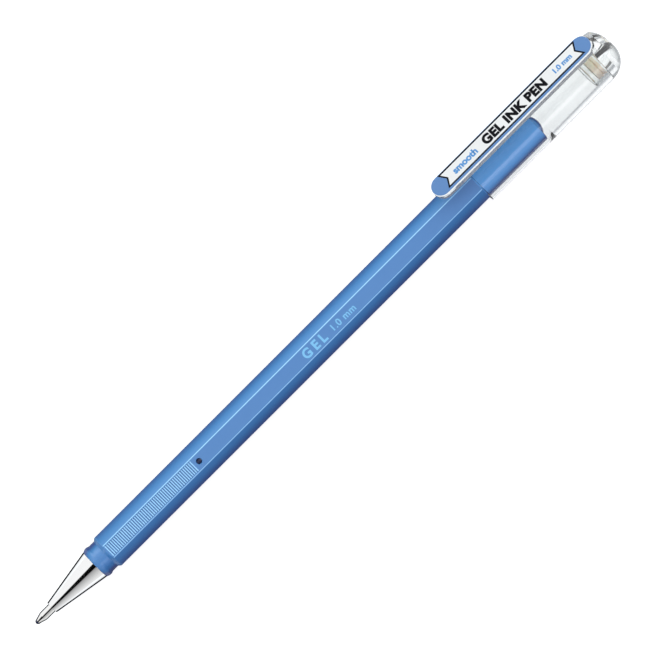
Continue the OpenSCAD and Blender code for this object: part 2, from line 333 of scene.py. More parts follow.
def mapped(tree, value, low, high, to_low=0.0, to_high=1.0):
    """A smooth step of a value between two limits."""
    node = add_node(tree, "MapRange", {"Value": value, "From Min": low, "From Max": high,
                                       "To Min": to_low, "To Max": to_high},
                    interpolation_type="SMOOTHSTEP")
    return node.outputs["Result"]


def within(tree, value, low, high, fade):
    """A mask that is 1 where a value lies between two limits in millimetres."""
    rising = mapped(tree, value, (low - fade) * MM, low * MM)
    falling = mapped(tree, value, (high + fade) * MM, high * MM)
    return add_node(tree, "Math", {0: rising, 1: falling}, operation="MULTIPLY").outputs[0]


def make_barrel_plastic():
    """Satin blue plastic, with painted highlights along its top and bottom edges and on the grip's
    ribs, a tail painted paler against the clip's shade, and painted shade darkening slanting sides
    and the outline.
    """
    # Painted shade: a darker blue for facets seen slanting.
    side_shade_blue = (0.046, 0.182, 0.42, 1)
    # Painted highlight: a paler blue for edges and rib crests.
    highlight_blue = (0.30, 0.57, 0.84, 1)
    # Painted light: a paler blue for the tail, which the clip shades.
    lit_tail_blue = (0.115, 0.35, 0.72, 1)
    # Painted shade: a dark blue towards the outline.
    silhouette_shade_blue = (0.018, 0.045, 0.20, 1)
    material, tree, shader, tone = moulded_plastic(
        "barrel_plastic", (0.078, 0.206, 0.458), (0.086, 0.222, 0.476),
        {"Grain Scale": 7000, "Grain Depth": 2.5e-6, "Roughness": 0.42, "Spread": 0.10},
        Specular_IOR_Level=0.4)
    place = add_node(tree, "TexCoord").outputs["Object"]
    parts = add_node(tree, "SeparateXYZ", {"Vector": place})
    section = add_node(tree, "CombineXYZ", {"Y": parts.outputs["Y"], "Z": parts.outputs["Z"]})
    out_from_axis = add_node(tree, "VectorMath", {0: section.outputs[0]}, operation="LENGTH")
    height = add_node(tree, "Math", {0: parts.outputs["Z"]}, operation="ABSOLUTE").outputs[0]
    across = add_node(tree, "Math", {0: parts.outputs["Y"]}, operation="ABSOLUTE").outputs[0]
    # Painted highlights: a paler blue along the top and bottom flats' edges and on the crests of
    # the grip's ribs, where light catches.
    corner = mapped(tree, out_from_axis.outputs["Value"], 4.101 * MM, 4.114 * MM)
    upper = mapped(tree, height, 3.2 * MM, 3.3 * MM)
    edges = add_node(tree, "Math", {0: corner, 1: upper}, operation="MULTIPLY").outputs[0]
    crest = mapped(tree, height, (flat_r - 0.07) * MM, (flat_r - 0.005) * MM)
    width = within(tree, across, -1, groove_len / 2 - 0.04, 0.05)
    rib = groove_pitch - groove_w
    length = within(tree, parts.outputs["X"], first_groove - groove_w / 2 - rib,
                    first_groove + (groove_count - 1) * groove_pitch + groove_w / 2 + rib, 0.03)
    ribs = add_node(tree, "Math", {0: crest, 1: width}, operation="MULTIPLY").outputs[0]
    ribs = add_node(tree, "Math", {0: ribs, 1: length}, operation="MULTIPLY").outputs[0]
    painted_highlights = add_node(tree, "Math", {0: edges, 1: ribs}, operation="MAXIMUM")
    # Painted shade: facets seen at a slant take the darker blue, by the angle they are seen at.
    facing = add_node(tree, "LayerWeight", {"Blend": 0.5}).outputs["Facing"]
    side = mapped(tree, facing, 0.08, 0.26)
    plastic = add_node(tree, "Mix", {"Factor": side, "A": tone.outputs["Result"],
                                     "B": side_shade_blue}, data_type="RGBA")
    paler = add_node(tree, "Mix", {"Factor": painted_highlights.outputs[0], "A": plastic.outputs["Result"],
                                   "B": highlight_blue}, data_type="RGBA")
    # Painted light: from the end of the flats on, the tail takes the paler blue, making up for the
    # clip's shade.
    tail = mapped(tree, parts.outputs["X"], (flats_end - 0.1) * MM, flats_end * MM)
    lit_tail = add_node(tree, "Mix", {"Factor": tail, "A": paler.outputs["Result"],
                                      "B": lit_tail_blue}, data_type="RGBA")
    # Painted shade: the blue darkens towards the outline as surfaces turn away from view, less so
    # at the shoulder.
    turned_away = mapped(tree, facing, 0.22, 0.56, 0.0, 0.94)
    shoulder = within(tree, parts.outputs["X"], flats_start - 0.75, flats_start + 0.05, 0.1)
    plain = add_node(tree, "Math", {0: shoulder, 1: -0.8, 2: 1.0}, operation="MULTIPLY_ADD")
    shade = add_node(tree, "Math", {0: turned_away, 1: plain.outputs[0]}, operation="MULTIPLY")
    silhouette_shaded = add_node(tree, "Mix", {"Factor": shade.outputs[0], "A": lit_tail.outputs["Result"],
                                    "B": silhouette_shade_blue}, data_type="RGBA")
    tree.links.new(silhouette_shaded.outputs["Result"], shader.inputs["Base Color"])
    bead = mapped(tree, parts.outputs["X"], (flats_start + 0.1) * MM, (flats_start - 0.3) * MM)
    glossy = add_node(tree, "Math", {0: bead, 1: tail}, operation="MAXIMUM").outputs[0]
    satin = shader.inputs["Roughness"].links[0].from_socket
    gloss = add_node(tree, "Mix", {"Factor": glossy, "A": satin, "B": 0.22})
    tree.links.new(gloss.outputs["Result"], shader.inputs["Roughness"])
    return material


barrel_plastic = make_barrel_plastic()
finished("barrel_moulding", barrel, "barrel", [barrel_plastic], ["barrel"])


# ---- Print on the barrel ----
# Pale blue ink, pad-printed on the top flat. The words are generic: the kind of ink and the
# width of its line.

print_t = 0.012
print_start = 75.6


def lettering(words, height, left, middle, boldness=0.0, spacing=1.0):
    """Thin letters in millimetres that read along +X on the XY plane, standing up along +Z."""
    curve = bpy.data.curves.new("words", "FONT")
    curve.body = words
    curve.space_character = spacing
    curve.offset = boldness
    curve.extrude = 0.5
    writer = bpy.data.objects.new("words", curve)
    bpy.context.scene.collection.objects.link(writer)
    bpy.context.view_layer.update()
    bm = bmesh.new()
    bm.from_mesh(writer.to_mesh())
    writer.to_mesh_clear()
    bpy.data.objects.remove(writer)
    bpy.data.curves.remove(curve)
    low_x = min(v.co.x for v in bm.verts)
    low_y = min(v.co.y for v in bm.verts)
    size = height * MM / (max(v.co.y for v in bm.verts) - low_y)
    bmesh.ops.translate(bm, vec=(-low_x, -low_y, 0.5), verts=bm.verts)
    bmesh.ops.scale(bm, vec=(size, size, print_t * MM), verts=bm.verts)
    bmesh.ops.translate(bm, vec=(left * MM, (middle - height / 2) * MM, 0), verts=bm.verts)
    bmesh.ops.remove_doubles(bm, verts=bm.verts, dist=1e-8)
    return bm


def merged(*solids):
    """Several solids as one mesh."""
    result = bmesh.new()
    for bm in solids:
        mesh = bpy.data.meshes.new("part")
        bm.to_mesh(mesh)
        bm.free()
        result.from_mesh(mesh)
        bpy.data.meshes.remove(mesh)
    return result


def printing_ink(name, colour, roughness=0.45):
    """A thin layer of printing ink, a little uneven in its cover."""
    second = [0.9 * part for part in colour]
    return moulded_plastic(name, colour, second, {"Grain Scale": 16000, "Grain Depth": 1e-6,
                                                  "Roughness": roughness, "Spread": 0.1},
                           Specular_IOR_Level=0.03)[0]


pale_ink = printing_ink("pale_blue_ink", (0.21, 0.49, 0.74))
words = merged(lettering("GEL", 2.1, print_start, 0.0, 0.035, 1.5),
               lettering("1.0 mm", 1.5, print_start + 8, 0.0, 0.02, 1.1))
bmesh.ops.translate(words, vec=(0, 0, (flat_r - 0.004) * MM), verts=words.verts)
finished("barrel_print", words, "barrel", [pale_ink])


# ---- Tail plug ----
# A small cap in the barrel's own plastic, pressed into the tail to close it, with a domed end
# and a hollow front.

plug_low, plug_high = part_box("tail_plug")
plug_r = plug_high.z / MM
plug_front = plug_low.x / MM
dome_end = plug_high.x / MM
dome_height = dome_end - barrel_end
dome_r = (plug_r ** 2 + dome_height ** 2) / (2 * dome_height)
dome_angle = math.degrees(math.asin(plug_r / dome_r))
plug = turned([(barrel_end - 2, 0), (barrel_end - 2, 1.7), (plug_front, 1.7),
               (plug_front, plug_r - 0.1), (plug_front + 0.1, plug_r),
               *arc(dome_end - dome_r, 0, dome_r, dome_angle, 2, 16), (dome_end, 0)])
finished("tail_plug_moulding", plug, "barrel", [barrel_plastic], ["tail_plug"])


# ---- Nose cone ----
# Turned from metal rod and plated bright. It screws into the barrel and holds the refill's
# shoulder, with the nib standing out of its front hole.

cone_low, cone_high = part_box("nose_cone")
cone_front = cone_low.x / MM
spigot_end = cone_high.x / MM
thread_r = 2.76
thread_root = 2.52
thread_pitch = 0.75
cavity_r = 2.25
nib_hole_r = 1.04
shank_hole_r = 1.22


def make_turned_metal():
    """Fine rings left by a lathe or a polishing wheel, as a normal and as changes of gloss."""
    group, given, out = new_group("turned_metal", {"Ring Depth": 1e-6, "Roughness": 0.1,
                                                   "Spread": 0.1},
                                  {"Roughness": "Float", "Normal": "Vector"})
    place = add_node(group, "TexCoord").outputs["Object"]
    rings = add_node(group, "Mapping", {"Vector": place, "Scale": (16000, 260, 260)})
    lines = add_node(group, "TexNoise", {"Vector": rings.outputs[0], "Scale": 1.0, "Detail": 3.0})
    bump = add_node(group, "Bump", {"Height": lines.outputs["Fac"],
                                    "Distance": given.outputs["Ring Depth"]})
    marks = add_node(group, "TexNoise", {"Vector": place, "Scale": 700.0, "Detail": 5.0,
                                         "Roughness": 0.7, "Distortion": 1.2})
    spread = add_node(group, "Math", {0: marks.outputs["Fac"], 1: -0.45}, operation="ADD")
    gloss = add_node(group, "Math", {0: spread.outputs[0], 1: given.outputs["Spread"],
                                     2: given.outputs["Roughness"]}, operation="MULTIPLY_ADD")
    group.links.new(gloss.outputs[0], out.inputs["Roughness"])
    group.links.new(bump.outputs["Normal"], out.inputs["Normal"])
    return group


turned_metal = make_turned_metal()


def make_round_outline():
    """A mask over the outermost strip of a round part, of one width whatever its radius."""
    group, given, out = new_group("round_outline", {"Facing": 0.0, "Width": 0.0003},
                                  {"Mask": "Float"})
    place = add_node(group, "TexCoord").outputs["Object"]
    parts = add_node(group, "SeparateXYZ", {"Vector": place})
    section = add_node(group, "CombineXYZ", {"Y": parts.outputs["Y"], "Z": parts.outputs["Z"]})
    radius = add_node(group, "VectorMath", {0: section.outputs[0]}, operation="LENGTH")
    share = add_node(group, "Math", {0: given.outputs["Width"], 1: radius.outputs["Value"]},
                     operation="DIVIDE", use_clamp=True)
    inner = add_node(group, "Math", {0: 1.0, 1: share.outputs[0]}, operation="SUBTRACT")
    square = add_node(group, "Math", {0: inner.outputs[0], 1: 2.0}, operation="POWER")
    rest = add_node(group, "Math", {0: 1.0, 1: square.outputs[0]}, operation="SUBTRACT")
    limit = add_node(group, "Math", {0: rest.outputs[0]}, operation="SQRT")
    towards = add_node(group, "Math", {0: 1.0, 1: given.outputs["Facing"]},
                       operation="SUBTRACT")
    past = add_node(group, "Math", {0: limit.outputs[0], 1: towards.outputs[0]},
                    operation="SUBTRACT")
    group.links.new(mapped(group, past.outputs[0], -0.04, 0.04), out.inputs["Mask"])
    return group


round_outline = make_round_outline()


def bright_metal(name, colour, edge_tint, ring_depth, roughness, spread, edge=0.28):
    """Bare or plated metal off the lathe, with a painted dark reflection along its outline."""
    material, tree, shader = new_material(name, Metallic=1.0, Specular_Tint=(*edge_tint, 1))
    facing = add_node(tree, "LayerWeight", {"Blend": 0.5}).outputs["Facing"]
    outline = add_node(tree, "Group", {"Facing": facing, "Width": edge * MM},
                       node_tree=round_outline)
    # Painted reflection: the colour turns near black in a strip of one width along the outline seen
    # side-on.
    shade = add_node(tree, "Mix", {"Factor": outline.outputs["Mask"], "A": (*colour, 1),
                                   "B": (0.012, 0.012, 0.012, 1)}, data_type="RGBA")
    tree.links.new(shade.outputs["Result"], shader.inputs["Base Color"])
    detail = add_node(tree, "Group", {"Ring Depth": ring_depth, "Roughness": roughness,
                                      "Spread": spread}, node_tree=turned_metal)
    tree.links.new(detail.outputs["Roughness"], shader.inputs["Roughness"])
    tree.links.new(detail.outputs["Normal"], shader.inputs["Normal"])
    return material


def thread(start, end, crest, root, pitch):
    """A screw thread's ridge, wound right-handed along the pen's axis."""
    steps_a_turn = 48
    foot = 0.42 * pitch
    bm = bmesh.new()
    corners = [(0, root - 0.05), (foot, crest), (foot + 0.12, crest), (2 * foot, root - 0.05)]
    points = [bm.verts.new(((start + x) * MM, 0, r * MM)) for x, r in corners]
    edges = [bm.edges.new(pair) for pair in zip(points, points[1:] + points[:1])]
    face = bm.faces.new(points)
    turns = (end - start - 2 * foot) / pitch
    steps = round(turns * steps_a_turn)
    bmesh.ops.spin(bm, geom=points + edges + [face], cent=(0, 0, 0), axis=(1, 0, 0),
                   angle=math.tau * steps / steps_a_turn, steps=steps,
                   dvec=(pitch / steps_a_turn * MM, 0, 0))
    bmesh.ops.recalc_face_normals(bm, faces=bm.faces)
    return bm


nose_chrome = bright_metal("nose_chrome", (0.93, 0.935, 0.94), (0.02, 0.02, 0.02), 3e-7, 0.045,
                           0.05)
cone = turned([(cone_front, nib_hole_r), (cone_front, 1.34), (barrel_front - 0.02, front_r),
               (barrel_front - 0.02, 2.5), (barrel_front + 0.8, 2.5),
               (barrel_front + 0.9, thread_root), (spigot_end, thread_root),
               (spigot_end, cavity_r), (barrel_front - 2.1, cavity_r),
               (cone_front + 2.1, shank_hole_r), (cone_front + 2, nib_hole_r)], soft=0.05)
ridge = thread(barrel_front + 0.95, spigot_end - 0.1, thread_r, thread_root, thread_pitch)
finished("nose_cone_turned", merged(cone, ridge), "nose", [nose_chrome],
         ["nose_cone"])


# ---- Refill tip ----
# A nickel silver tip drawn and crimped round the writing ball, which is lapped carbide with a
# film of ink on it. Behind it are the parts inside the barrel: the ball's spring, the plastic
# tip holder with its check ball, and the ink tube with its gel ink and grease follower.

tip_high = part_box("tip_body")[1]
nib_r = 1.0
shank_r = tip_high.z / MM
nib_end = tip_high.x / MM
shank_end = nib_end - 2.9
ball_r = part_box("writing_ball")[1].z / MM


def make_tip_metal():
    """Bright nickel silver, with a film of ink on the last half millimetre."""
    material = bright_metal("tip_metal", (0.92, 0.92, 0.91), (0.03, 0.03, 0.03), 3e-7, 0.04, 0.04,
                            0.2)
    tree = material.node_tree
    shader = tree.nodes["Principled BSDF"]
    bare = shader.inputs["Base Color"].links[0].from_socket
    place = add_node(tree, "TexCoord").outputs["Object"]
    parts = add_node(tree, "SeparateXYZ", {"Vector": place})
    wet = mapped(tree, parts.outputs["X"], 0.7 * MM, 0.4 * MM, 0.0, 0.95)
    inked = add_node(tree, "Mix", {"Factor": wet, "A": bare, "B": (0.010, 0.015, 0.05, 1)},
                     data_type="RGBA")
    tree.links.new(inked.outputs["Result"], shader.inputs["Base Color"])
    return material


tip_metal = make_tip_metal()
ball_metal = bright_metal("ball_metal", (0.10, 0.11, 0.14), (0.04, 0.04, 0.06), 1e-7, 0.16, 0.1)
spring_steel = bright_metal("spring_steel", (0.72, 0.72, 0.73), (0.3, 0.3, 0.3), 4e-7, 0.2, 0.1)
gel_ink = moulded_plastic("gel_ink", (0.012, 0.06, 0.30), (0.02, 0.08, 0.36),
                          {"Grain Scale": 500, "Grain Depth": 4e-6, "Roughness": 0.1,
                           "Spread": 0.05}, Coat_Weight=0.4)[0]
tip = turned([(0.33, 0.45), (0.34, 0.53), (0.42, 0.565), (0.62, 0.575), (0.70, 0.60),
              (2.02, nib_r - 0.02), (2.3, nib_r), (shank_end - 3.02, nib_r),
              (shank_end - 2.98, shank_r), (shank_end - 0.1, shank_r), (shank_end, shank_r - 0.1),
              (shank_end, 0.9), (nib_end, 0.9), (nib_end, 0.62), (2.4, 0.62), (2.4, 0.3),
              (0.96, 0.3), *arc(0.5, 0, 0.51, 36, 100, 8)], steps=96)
finished("tip_body_drawn", tip, "refill", [tip_metal], ["tip_body"])

ball = bmesh.new()
bmesh.ops.create_uvsphere(ball, u_segments=48, v_segments=24, radius=ball_r * MM)
bmesh.ops.rotate(ball, cent=(0, 0, 0), matrix=Matrix.Rotation(math.pi / 2, 3, "Y"),
                 verts=ball.verts)
bmesh.ops.translate(ball, vec=(ball_r * MM, 0, 0), verts=ball.verts)
finished("writing_ball_lapped", ball, "ball", [ball_metal], ["writing_ball"])

ink_rim = turned(arc(0.325, 0.475, 0.022, 0, 330, 10), steps=64)
finished("ink_rim", ink_rim, "refill", [gel_ink])

holder_plastic = moulded_plastic("holder_plastic", (0.78, 0.80, 0.82), (0.72, 0.75, 0.78),
                                 {"Grain Scale": 5000, "Grain Depth": 3e-6, "Roughness": 0.35,
                                  "Spread": 0.1}, Subsurface_Weight=0.1)[0]
follower_grease = moulded_plastic("follower_grease", (0.70, 0.60, 0.34), (0.62, 0.52, 0.28),
                                  {"Grain Scale": 900, "Grain Depth": 5e-6, "Roughness": 0.15,
                                   "Spread": 0.1}, Coat_Weight=0.5)[0]


def clear_plastic(name, tint, roughness, ior):
    """Clear moulded plastic, with faint swirls of flow. Lamps shine through it."""
    material, tree, shader = new_material(name, Base_Color=(*tint, 1), Transmission_Weight=1.0,
                                          IOR=ior)
    detail = add_node(tree, "Group", {"Grain Scale": 300, "Grain Depth": 3e-7,
                                      "Roughness": roughness, "Spread": roughness},
                      node_tree=moulded_skin)
    tree.links.new(detail.outputs["Roughness"], shader.inputs["Roughness"])
    tree.links.new(detail.outputs["Normal"], shader.inputs["Normal"])
    rays = add_node(tree, "LightPath")
    lamp_rays = add_node(tree, "Math", {0: rays.outputs["Is Shadow Ray"],
                                        1: rays.outputs["Is Diffuse Ray"]}, operation="MAXIMUM")
    passing = add_node(tree, "BsdfTransparent", {"Color": (*[part ** 0.5 for part in tint], 1)})
    either = add_node(tree, "MixShader", {0: lamp_rays.outputs[0], 1: shader.outputs["BSDF"],
                                          2: passing.outputs["BSDF"]})
    tree.links.new(either.outputs[0], tree.nodes["Material Output"].inputs["Surface"])
    return material


tube_plastic = clear_plastic("tube_plastic", (0.86, 0.89, 0.90), 0.25, 1.49)
for node, material in {"ball_spring": spring_steel, "tip_holder": holder_plastic,
                       "check_ball": ball_metal, "ink_tube": tube_plastic, "ink": gel_ink,
                       "ink_follower": follower_grease}.items():
    frame["nodes"][node].data.materials.clear()
    frame["nodes"][node].data.materials.append(material)


# ---- Cap tube ----
# A clear tube, moulded in hard styrene. Its wide mouth takes the barrel's tail, the bore narrows
# beside the tail's end, and a slow taper runs up to the crown, which is welded in.

tube_low, tube_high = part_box("cap_tube")
cap_lip = tube_low.x / MM
crown_joint = tube_high.x / MM
cap_r = tube_high.z / MM
mouth_r = 4.22
narrow_r = 3.87
taper_r = 3.66
top_bore_r = 3.46
crown_low, crown_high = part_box("cap_crown")
cup_front = crown_low.x / MM
cap_end = crown_high.x / MM

clear_styrene = clear_plastic("clear_styrene", (0.975, 0.985, 0.98), 0.004, 1.5)
cap_tube = turned([(cap_lip + 0.15, mouth_r), (cap_lip, mouth_r + 0.15), (cap_lip, cap_r),
                   (crown_joint, cap_r), (crown_joint, top_bore_r), (cup_front, top_bore_r),
                   (barrel_end + 1.6, taper_r), (barrel_end + 1.2, narrow_r),
                   (barrel_end - 0.35, mouth_r)], soft=0.07, steps=160)
finished("cap_tube_moulding", cap_tube, "cap", [clear_styrene], ["cap_tube"])


# ---- Crown and clip ----
# The cap's dome, the cup that holds the seal, and the clip are one moulding in the same clear
# plastic.

clip_low, clip_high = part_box("clip")
clip_joint = next(j for j in frame["joints"] if j["name"] == "clip_flex")
across_clip = Vector(clip_joint["axis"]).normalized()
out_of_clip = Vector((1, 0, 0)).cross(across_clip)
clip_frame = Matrix((Vector((1, 0, 0)), across_clip, out_of_clip)).transposed().to_4x4()
clip_front = clip_low.x / MM
clip_back = clip_high.x / MM
clip_w = 4.74
clip_face = 9.3
clip_under = clip_face - 1.4
crown_r = cap_end - crown_joint
cup_r = 2.9
cup_floor = crown_joint - 0.3
hollow_r = 2.65
hollow_end = crown_joint + 1.5


def round_plate(x0, x1, width, low, high, soft=0.0):
    """A plate with full-round ends on the XY plane, from one height to another."""
    bm = bmesh.new()
    segments = 64
    bmesh.ops.create_circle(bm, segments=segments, radius=width / 2 * MM)
    bmesh.ops.rotate(bm, cent=(0, 0, 0), matrix=Matrix.Rotation(math.pi / segments, 3, "Z"),
                     verts=bm.verts)
    right = [v for v in bm.verts if v.co.x > 0]
    bmesh.ops.translate(bm, vec=((x1 - x0 - width) * MM, 0, 0), verts=right)
    bmesh.ops.translate(bm, vec=((x0 + width / 2) * MM, 0, low * MM), verts=bm.verts)
    face = bm.faces.new(sorted(bm.verts, key=lambda v: v.index))
    raised = bmesh.ops.extrude_face_region(bm, geom=[face])
    top = [g for g in raised["geom"] if isinstance(g, bmesh.types.BMVert)]
    bmesh.ops.translate(bm, vec=(0, 0, (high - low) * MM), verts=top)
    bmesh.ops.recalc_face_normals(bm, faces=bm.faces)
    if soft:
        soften(bm, soft, 60)
    return bm


def side_slab(outline, width):
    """A solid of constant width from its side outline, points (x, z) in millimetres."""
    bm = bmesh.new()
    points = [bm.verts.new((x * MM, -width / 2 * MM, z * MM)) for x, z in outline]
    made = bmesh.ops.extrude_face_region(bm, geom=[bm.faces.new(points)])
    far = [g for g in made["geom"] if isinstance(g, bmesh.types.BMVert)]
    bmesh.ops.translate(bm, vec=(0, width * MM, 0), verts=far)
    bmesh.ops.recalc_face_normals(bm, faces=bm.faces)
    return bm


def root_outline(steps=24):
    """The clip's root from the side: it falls away to the end of the dome along an ellipse."""
    top = clip_under + 0.05
    start = math.degrees(math.acos(top / clip_face))
    angles = [math.radians(start + (90 - start) * i / steps) for i in range(steps + 1)]
    curve = [(crown_joint + crown_r * math.sin(a), clip_face * math.cos(a)) for a in angles]
    return [(crown_joint + 0.02, 0), (crown_joint + 0.02, top), *curve]


dome = turned([(hollow_end, 0), (hollow_end, hollow_r), (cup_floor, hollow_r),
               (cup_floor, cup_r), (cup_front + 0.2, cup_r), (cup_front, cup_r + 0.15),
               (cup_front, top_bore_r - 0.2), (cup_front + 0.25, top_bore_r - 0.02),
               (crown_joint + 0.02, top_bore_r - 0.02), (crown_joint + 0.02, crown_r),
               *arc(crown_joint + 0.02, 0, crown_r - 0.02, 88, 2, 30), (cap_end, 0)])
root = side_slab(root_outline(), clip_w + 1)
plan = round_plate(crown_joint - clip_w / 2, crown_joint + clip_w / 2, clip_w, 0, clip_face)
for vert in plan.verts:
    vert.co.x = crown_joint * MM + (vert.co.x - crown_joint * MM) * crown_r / (clip_w / 2)
root = carved(root, "INTERSECT", plan)
bump_x = clip_front + 2.8
bump = side_slab([(bump_x - 1.5, clip_under + 0.2), (bump_x - 0.75, clip_under - 1.6),
                  (bump_x + 0.75, clip_under - 1.6), (bump_x + 3, clip_under + 0.2)], 2)
soften(bump, 0.3, 20)
bar = round_plate(clip_front, clip_back, clip_w, clip_under, clip_face, 0.16)
clip_arm = carved(carved(bar, "UNION", root), "UNION", bump)
bmesh.ops.transform(clip_arm, matrix=clip_frame, verts=clip_arm.verts)
crown = carved(dome, "UNION", clip_arm)
crown_piece = finished("crown_and_clip_moulding", crown, None, [clear_styrene],
                       ["cap_crown", "clip"])
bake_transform(crown_piece)


# ---- Tip seal ----
# A soft disc with two lips, pressed into the crown's cup. The writing ball sinks into it when
# the cap is on the nose.

seal_low, seal_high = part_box("tip_seal")
seal_front = seal_low.x / MM
seal_back = seal_high.x / MM
seal_r = seal_high.z / MM
lip_gap_r = 2.55
seal_rubber = moulded_plastic("seal_rubber", (0.88, 0.72, 0.54), (0.82, 0.66, 0.49),
                              {"Grain Scale": 3500, "Grain Depth": 8e-6, "Roughness": 0.6,
                               "Spread": 0.1}, Subsurface_Weight=0.15)[0]
seal = turned([(seal_front, 0), (seal_front, seal_r), (seal_front + 1.12, seal_r),
               (seal_front + 1.12, lip_gap_r), (seal_front + 1.38, lip_gap_r),
               (seal_front + 1.38, seal_r), (seal_back, seal_r), (seal_back, 0)], soft=0.06)
finished("tip_seal_disc", seal, "seal", [seal_rubber], ["tip_seal"])


# ---- Clip label ----
# A white film on the clip's outer face, printed blue up to a narrow margin, with a white ribbon
# outlined in black and generic words. Its back shows white through the clear clip.

label_high = clip_face + 0.08
label_blue = printing_ink("label_blue", (0.115, 0.215, 0.43), 0.4)
label_white = printing_ink("label_white", (0.72, 0.69, 0.69), 0.45)
note_blue = printing_ink("note_blue", (0.10, 0.26, 0.54), 0.4)
label_black = printing_ink("label_black", (0.006, 0.006, 0.008), 0.5)
film_back = moulded_plastic("film_back", (0.72, 0.70, 0.70), (0.70, 0.68, 0.68),
                            {"Grain Scale": 5000, "Grain Depth": 1e-6, "Roughness": 0.6,
                             "Spread": 0.1})[0]
margin = 0.28
film_w = clip_w - 0.08
film = round_plate(clip_front + 0.03, clip_back - 0.35, film_w, clip_face - 0.02,
                   label_high - 0.045)
ground = round_plate(clip_front + 0.12, clip_back - 0.35, film_w - margin, label_high - 0.05,
                     label_high - 0.03)
bmesh.ops.translate(ground, vec=(0, margin / 2 * MM, 0), verts=ground.verts)


def flat_shape(outline, low, high, border=0.0):
    """A thin printed shape from (x, y) points in millimetres, with its border in the next ink."""
    bm = bmesh.new()
    face = bm.faces.new([bm.verts.new((x * MM, y * MM, low * MM)) for x, y in outline])
    if face.normal.z < 0:
        face.normal_flip()
    raised = bmesh.ops.extrude_face_region(bm, geom=[face])
    top = [g for g in raised["geom"] if isinstance(g, bmesh.types.BMVert)]
    bmesh.ops.translate(bm, vec=(0, 0, (high - low) * MM), verts=top)
    bmesh.ops.recalc_face_normals(bm, faces=bm.faces)
    upper = [f for f in bm.faces if f.normal.z > 0.9]
    if border:
        rim = bmesh.ops.inset_region(bm, faces=upper, thickness=border * MM, use_even_offset=True)
        for strip in rim["faces"]:
            strip.material_index = 1
    return bm


ribbon_left = clip_front + 2.9
ribbon_right = clip_back - 2.6
notch = 1.1
ribbon_y = 0.36
ribbon = flat_shape([(ribbon_left, -1.56), (ribbon_right, -1.56), (ribbon_right - notch, ribbon_y),
                     (ribbon_right, 2.24), (ribbon_left, 2.24), (ribbon_left + notch, ribbon_y)],
                    label_high - 0.035, label_high - 0.02, border=0.35)
title = lettering("GEL INK PEN", 2.3, clip_front + 14.2, ribbon_y, 0.06, 1.08)
notes = merged(lettering("smooth", 1.6, clip_front + 5.9, ribbon_y, 0.045),
               lettering("1.0 mm", 1.3, clip_front + 34.0, ribbon_y, 0.045))
for bm in (title, notes):
    bmesh.ops.translate(bm, vec=(0, 0, (label_high - 0.022) * MM), verts=bm.verts)
for name, bm, inks in (("label_film", film, [film_back]), ("label_ground", ground, [label_blue]),
                       ("label_ribbon", ribbon, [label_white, label_black]),
                       ("label_title", title, [label_black]),
                       ("label_notes", notes, [note_blue])):
    bmesh.ops.transform(bm, matrix=clip_frame, verts=bm.verts)
    replaced = ["clip_label"] if name == "label_film" else []
    finished(name, bm, "clip", inks, replaced)


# ---- Studio ----
# A pale table that glows faintly under the clear cap, soft light from above that is stronger on
# one side, a small tent round the nose for its metal to mirror, and a camera that looks down on
# the barrel's top flat.

bpy.context.scene.view_settings.view_transform = "Standard"


def stage_piece(name, bm):
    """Something that stands in the studio and is no part of the pen."""
    mesh = bpy.data.meshes.new(name)
    bm.to_mesh(mesh)
    bm.free()
    piece = bpy.data.objects.new(name, mesh)
    bpy.context.scene.collection.objects.link(piece)
    material = bpy.data.materials.new(name)
    material.use_nodes = True
    mesh.materials.append(material)
    return piece, material.node_tree


def light_by_angle(tree, place, stops):
    """A colour by the angle round the pen's axis, in degrees from straight up towards +Y."""
    parts = add_node(tree, "SeparateXYZ", {"Vector": place})
    angle = add_node(tree, "Math", {0: parts.outputs["Y"], 1: parts.outputs["Z"]},
                     operation="ARCTAN2")
    share = add_node(tree, "MapRange", {"Value": angle.outputs[0], "From Min": -math.pi,
                                        "From Max": math.pi})
    ramp = add_node(tree, "ValToRGB", {"Fac": share.outputs["Result"]})
    elements = ramp.color_ramp.elements
    elements.remove(elements[-1])
    for i, (degrees, colour) in enumerate(stops):
        along = (degrees + 180) / 360
        stop = elements[0] if i == 0 else elements.new(along)
        stop.position = along
        stop.color = (*colour, 1)
    return ramp.outputs["Color"]


def grey(level):
    """A colour without a hue."""
    return (level, level, level)


table_top = bmesh.new()
bmesh.ops.create_grid(table_top, x_segments=1, y_segments=1, size=3)
bmesh.ops.translate(table_top, vec=(0, 0, -cap_r * MM), verts=table_top.verts)
tree = stage_piece("table", table_top)[1]
rays = add_node(tree, "LightPath")
parts = add_node(tree, "SeparateXYZ", {"Vector": add_node(tree, "TexCoord").outputs["Object"]})
aside = add_node(tree, "Math", {0: parts.outputs["Y"]}, operation="ABSOLUTE")
beside = mapped(tree, aside.outputs[0], 8 * MM, 9 * MM)
by_nose = mapped(tree, parts.outputs["X"], 17.5 * MM, 17 * MM)
card = add_node(tree, "Math", {0: beside, 1: by_nose}, operation="MULTIPLY")
by_cap = mapped(tree, parts.outputs["X"], 123 * MM, 124 * MM)
cards = add_node(tree, "Math", {0: card.outputs[0], 1: by_cap}, operation="MAXIMUM")
mirror_rays = add_node(tree, "Math", {0: rays.outputs["Is Glossy Ray"],
                                      1: rays.outputs["Is Transmission Ray"]},
                       operation="SUBTRACT", use_clamp=True)
mirrored = add_node(tree, "Math", {0: cards.outputs[0], 1: mirror_rays.outputs[0]},
                    operation="MULTIPLY")
seen = add_node(tree, "Math", {0: rays.outputs["Is Camera Ray"], 1: 0.84}, operation="MULTIPLY")
slanting = add_node(tree, "LayerWeight", {"Blend": 0.5}).outputs["Facing"]
backlight = mapped(tree, slanting, 0.05, 0.45, 0.70, 0.05)
